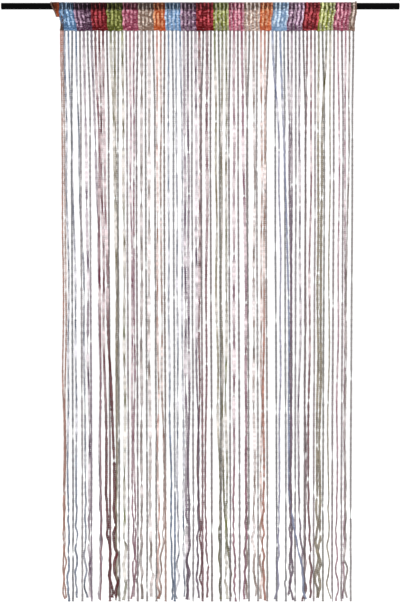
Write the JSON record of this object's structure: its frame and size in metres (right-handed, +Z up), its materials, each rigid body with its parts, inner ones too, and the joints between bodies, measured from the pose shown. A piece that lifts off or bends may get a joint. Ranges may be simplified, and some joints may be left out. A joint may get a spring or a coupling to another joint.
{
  "type": "tassel door curtain on a rod",
  "caption": "String door curtain with an openwork knitted rod pocket in repeating colour blocks and long flat knitted strings, hung on a plain black rod.",
  "frame": {"origin": "middle of the rod's axis, where the supports' centre line meets the curtain's plane", "axes": "+X along the rod to the right as seen from the front, +Y to the back, +Z up"},
  "size_m": [1.34, 0.0256, 2.0179],
  "materials": {
    "rod_paint": "satin",
    "band_knit": "openwork knit with a slight lustre",
    "string_knit": "knitted chain",
    "yarn_blue": "lustrous yarn",
    "yarn_purple": "lustrous yarn",
    "yarn_red": "lustrous yarn",
    "yarn_green": "lustrous yarn",
    "yarn_pink": "lustrous yarn",
    "yarn_beige": "lustrous yarn",
    "yarn_orange": "lustrous yarn"
  },
  "bodies": {
    "root": {"curtain_rod": "rod_paint", "rod_pocket": "band_knit", "string_comb": "string_knit"}
  },
  "joints": []
}
